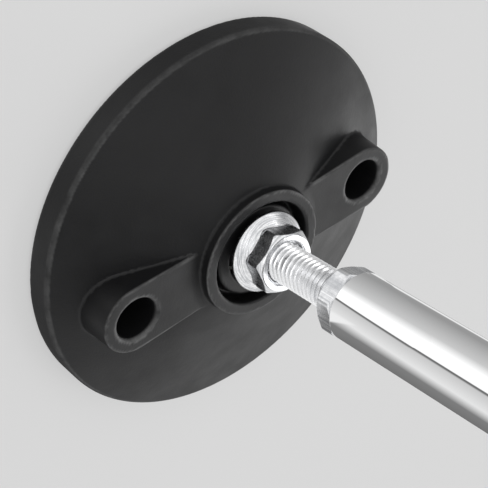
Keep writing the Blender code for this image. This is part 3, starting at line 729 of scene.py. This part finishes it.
# The studio above the horizon: brightness on a screen at degrees round the compass
ROUND_ABOUT = ((-180, 0.60), (-165, 0.80), (-150, 1.0), (60, 1.0), (90, 1.0), (108, 1.1), (128, 1.35),
               (145, 1.6), (158, 0.8))
# The studio below the horizon: the degrees that each part spans, and its brightness on a screen at
# either end. The light blends from one part to the next.
LOW_PARTS = (((-180, -100), (0.60, 0.80)),      # a grey wall
             ((-70, -30), (1.05, 1.05)),        # a white card
             ((-28, -24), (0.40, 0.45)),        # a narrow black flag at the card's edge
             ((-20, 25), (0.80, 0.92)),         # a pale card
             ((55, 125), (0.50, 0.43)),         # a dark wall
             ((143, 150), (0.95, 0.95)),        # a strip light
             ((158, 180), (0.60, 0.60)))        # the grey wall's start
CARD_PLACE, CARD_RADIUS = (0.0044, -0.0147, 0.040), 56.0
CARD_PLAIN = 0.9                # radiance of the card's plain part
CARD_PLAIN_REACH = (0.042, 0.040)       # it fades in from the first distance to the second
CARD_PLAIN_SIDE = (0.008, 0.014)        # and so along Y
LIGHTS_AIM, LIGHTS_DISTANCE = (0.0, -0.004, 0.04), 1.2
CAMERA_PLACE = (0.1944, -0.2959, 0.2918)
CAMERA_TARGET = (-0.0043, 0.0086, 0.0124)
CAMERA_UP = (-0.4707, -0.7433, -0.4753)


def node_of(tree, kind, **inputs):
    """A node with its inputs set or linked, each by its name, or by its number after an i."""
    made = tree.nodes.new(kind)
    for key, value in inputs.items():
        socket = made.inputs[int(key[1:])] if key[0] == "i" and key[1:].isdigit() else made.inputs[key]
        if isinstance(value, bpy.types.NodeSocket):
            tree.links.new(value, socket)
        else:
            socket.default_value = value
    return made


def maths(tree, operation, *values):
    """The result of a Math node."""
    made = node_of(tree, "ShaderNodeMath", **{f"i{n}": value for n, value in enumerate(values)})
    made.operation = operation
    return made.outputs[0]


def compass(tree, x, y):
    """The direction of a point round the compass, from 0 at -X, turning anticlockwise, to 1."""
    return maths(tree, 'ADD', maths(tree, 'DIVIDE', maths(tree, 'ARCTAN2', y, x), math.tau), 0.5)


def ramp(tree, value, stops, smooth=False):
    """A grey ramp round the compass, of (degrees, brightness) stops, brightness as on a screen."""
    made = node_of(tree, "ShaderNodeValToRGB", Fac=value)
    made.color_ramp.interpolation = 'EASE' if smooth else 'LINEAR'
    while len(made.color_ramp.elements) > 1:
        made.color_ramp.elements.remove(made.color_ramp.elements[0])
    for index, (azimuth, bright) in enumerate(stops):
        place = azimuth / 360.0 + 0.5
        point = made.color_ramp.elements[0] if index == 0 else made.color_ramp.elements.new(place)
        point.position = place
        level = bright ** 2.2
        point.color = (level, level, level, 1.0)
    return made.outputs["Color"]


def low_bands(tree, x, y):
    """The walls and cards below the horizon, which the chromed tube mirrors as soft bands."""
    stops = [stop for span, ends in LOW_PARTS for stop in zip(span, ends)]
    return ramp(tree, compass(tree, x, y), stops)


def mixed(tree, share, first, second):
    """A blend of two colours, or of grey levels."""
    made = node_of(tree, "ShaderNodeMix")
    made.data_type = 'RGBA'
    for socket, value in ((made.inputs["Factor"], share), (made.inputs[6], first), (made.inputs[7], second)):
        if isinstance(value, bpy.types.NodeSocket):
            tree.links.new(value, socket)
        else:
            socket.default_value = (value, value, value, 1.0)
    return made.outputs[2]


def fade(tree, value, span, interpolation='LINEAR'):
    """A share that goes from 0 to 1 as a value crosses a span."""
    made = node_of(tree, "ShaderNodeMapRange", i0=value, i1=span[0], i2=span[1])
    made.interpolation_type = interpolation
    return made.outputs[0]


def build_world():
    """A pale studio: white above on the camera's side, dark high up behind the object so that the
    foot's gloss stays low, and banded below the horizon. The camera sees a plain background."""
    world = bpy.data.worlds.new("studio")
    bpy.context.scene.world = world
    world.use_nodes = True
    tree = world.node_tree
    direction = node_of(tree, "ShaderNodeTexCoord").outputs["Generated"]
    parts = node_of(tree, "ShaderNodeSeparateXYZ", Vector=direction)
    x, y, z = (parts.outputs[axis] for axis in "XYZ")
    round_about = ramp(tree, compass(tree, x, y), ROUND_ABOUT, smooth=True)
    dark = node_of(tree, "ShaderNodeVectorMath", i0=direction, i1=DARK_QUARTER)
    dark.operation = 'DOT_PRODUCT'
    share = fade(tree, dark.outputs["Value"], DARK_REACH, 'SMOOTHSTEP')
    above = mixed(tree, share, round_about, DARK_LEVEL)
    whole = mixed(tree, fade(tree, z, (-HORIZON, HORIZON)), low_bands(tree, x, y), above)
    camera_ray = node_of(tree, "ShaderNodeLightPath").outputs["Is Camera Ray"]
    tree.links.new(mixed(tree, camera_ray, whole, BACKDROP), tree.nodes["Background"].inputs["Color"])


def stage_disc(name, radius, height, segments=96):
    """A flat disc on the stage, with a new material, and that material's node tree."""
    turns = [math.tau * step / segments for step in range(segments)]
    points = [(radius * MM * math.cos(t), radius * MM * math.sin(t), height * MM) for t in turns]
    mesh = bpy.data.meshes.new(name)
    mesh.from_pydata(points, [], [list(range(segments))])
    material = bpy.data.materials.new(name)
    material.use_nodes = True
    mesh.materials.append(material)
    made = bpy.data.objects.new(name, mesh)
    bpy.context.scene.collection.objects.link(made)
    return made, material.node_tree


def make_matt(tree, grey):
    """A plain matt grey surface, and its shader."""
    shader = tree.nodes["Principled BSDF"]
    shader.inputs["Base Color"].default_value = (grey, grey, grey, 1.0)
    shader.inputs["Roughness"].default_value = 1.0
    shader.inputs["Specular IOR Level"].default_value = 0.0
    return shader


def build_floor():
    """A plain pale floor. The camera sees it lighter than it is, so that shadows on it stay faint."""
    floor, tree = stage_disc("floor", radius=8000.0, height=-0.2)
    floor.visible_glossy = False
    shader = make_matt(tree, FLOOR_GREY)
    shader.inputs["Emission Color"].default_value = (1.0, 1.0, 1.0, 1.0)
    camera_ray = node_of(tree, "ShaderNodeLightPath").outputs["Is Camera Ray"]
    tree.links.new(maths(tree, 'MULTIPLY', camera_ray, FLOOR_GLOW), shader.inputs["Emission Strength"])


def build_fill_card():
    """A card over the foot, seen only in the metal above it. It carries the studio's bands on, so
    that the tube mirrors them and not the black foot, and is plain close in on the far side, for
    the jam nut. From below it is clear."""
    card, tree = stage_disc("fill_card", radius=CARD_RADIUS, height=0.0)
    card.location = CARD_PLACE
    card.visible_camera = card.visible_diffuse = card.visible_shadow = False
    tree.nodes.remove(tree.nodes["Principled BSDF"])
    place = node_of(tree, "ShaderNodeTexCoord").outputs["Object"]
    parts = node_of(tree, "ShaderNodeSeparateXYZ", Vector=place)
    reach = node_of(tree, "ShaderNodeVectorMath", i0=place)
    reach.operation = 'LENGTH'
    inner = fade(tree, reach.outputs["Value"], CARD_PLAIN_REACH)
    far_side = fade(tree, parts.outputs["Y"], CARD_PLAIN_SIDE)
    bright = mixed(tree, maths(tree, 'MULTIPLY', inner, far_side),
                   low_bands(tree, parts.outputs["X"], parts.outputs["Y"]), CARD_PLAIN)
    glow = node_of(tree, "ShaderNodeEmission", Color=bright)
    clear = node_of(tree, "ShaderNodeBsdfTransparent")
    back = node_of(tree, "ShaderNodeNewGeometry").outputs["Backfacing"]
    both = node_of(tree, "ShaderNodeMixShader", i0=back, i1=glow.outputs[0], i2=clear.outputs[0])
    tree.links.new(both.outputs[0], tree.nodes["Material Output"].inputs["Surface"])


def build_under_card():
    """A black card under the foot, which keeps the insides of the bolt holes dark."""
    card, tree = stage_disc("under_card", radius=58.0, height=-0.1)
    card.visible_camera = False
    make_matt(tree, 0.01)


def softbox(name, azimuth, elevation, width, height, radiance):
    """A rectangular soft light that faces the nuts from a direction, in degrees."""
    lamp = bpy.data.lights.new(name, 'AREA')
    lamp.shape = 'RECTANGLE'
    lamp.size, lamp.size_y = width, height
    lamp.energy = radiance * math.pi * width * height
    made = bpy.data.objects.new(name, lamp)
    bpy.context.scene.collection.objects.link(made)
    a, e = math.radians(azimuth), math.radians(elevation)
    towards = Vector((math.cos(a) * math.cos(e), math.sin(a) * math.cos(e), math.sin(e)))
    made.location = Vector(LIGHTS_AIM) + towards * LIGHTS_DISTANCE
    made.rotation_euler = towards.to_track_quat('Z', 'Y').to_euler()


def build_lights():
    """The key light behind the foot, a weaker one beside it and a large one over it."""
    softbox("key_softbox", azimuth=135.0, elevation=52.0, width=0.55, height=0.40, radiance=2.2)
    softbox("side_softbox", azimuth=-160.0, elevation=45.0, width=0.40, height=0.50, radiance=1.0)
    softbox("top_softbox", azimuth=-57.0, elevation=79.0, width=0.60, height=0.60, radiance=1.6)


def build_camera():
    """The photograph's viewpoint: above the lugs, rolled so that the stem runs to the lower right."""
    place = Vector(CAMERA_PLACE)
    forward = (Vector(CAMERA_TARGET) - place).normalized()
    right = forward.cross(Vector(CAMERA_UP)).normalized()
    up = right.cross(forward)
    lens = bpy.data.cameras.new("camera")
    lens.sensor_width = 36.0
    lens.lens = 112.97
    lens.clip_start = 0.01
    made = bpy.data.objects.new("camera", lens)
    bpy.context.scene.collection.objects.link(made)
    turn = Matrix((right, up, -forward)).transposed().to_4x4()
    made.matrix_world = Matrix.Translation(place) @ turn
    bpy.context.scene.camera = made


build_foot()
build_sole()
build_screws("sole_screw", SOLE_SCREW_AT, head=3.6, shank=1.7, bottom=0.6, top=12.0)
build_screws("cover_screw", COVER_SCREW_AT, head=2.7, shank=1.35, bottom=3.6, top=13.0)
build_socket()
build_ball()
build_stud()
build_nuts()
build_leg()
build_world()
build_floor()
build_fill_card()
build_under_card()
build_lights()
build_camera()
bpy.context.scene.view_settings.view_transform = 'Standard'
